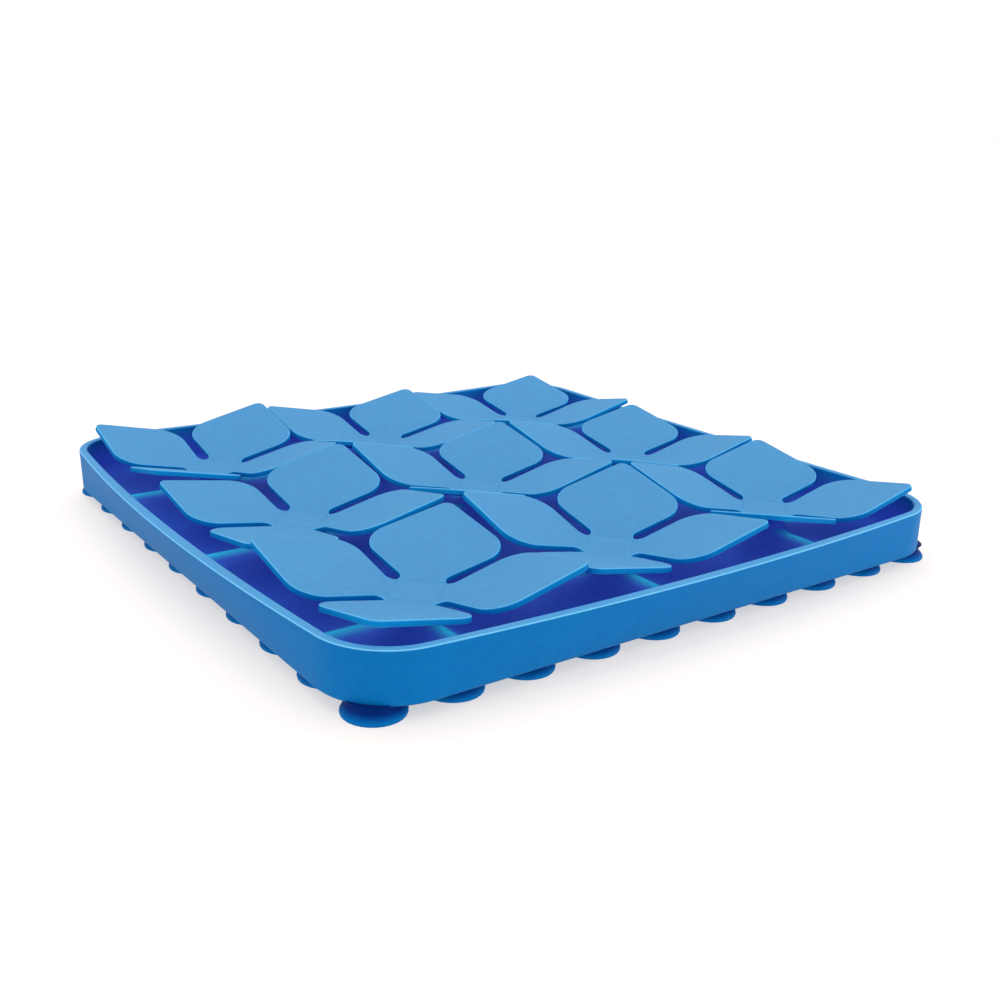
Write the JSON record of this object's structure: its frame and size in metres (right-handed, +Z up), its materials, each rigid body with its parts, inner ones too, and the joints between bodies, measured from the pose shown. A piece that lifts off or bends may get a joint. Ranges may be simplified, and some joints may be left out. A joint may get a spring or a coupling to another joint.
{
  "type": "lick mat",
  "caption": "Square silicone lick mat for pets: a walled tray on small suction cups, with rows of flowers whose four petals fold up over the food.",
  "frame": {"origin": "middle of the mat's box, on the surface it stands on", "axes": "+Z up, +X and +Y along the mat's two sides"},
  "size_m": [0.254, 0.254, 0.0296],
  "materials": {
    "tray_silicone": "matt moulded",
    "flower_silicone": "matt moulded"
  },
  "bodies": {
    "root": {"tray": "tray_silicone", "flower_x1_y1": "flower_silicone", "flower_x1_y2": "flower_silicone", "flower_x1_y3": "flower_silicone", "flower_x2_y1": "flower_silicone", "flower_x2_y2": "flower_silicone", "flower_x2_y3": "flower_silicone", "flower_x3_y1": "flower_silicone", "flower_x3_y2": "flower_silicone", "flower_x3_y3": "flower_silicone"}
  },
  "joints": []
}
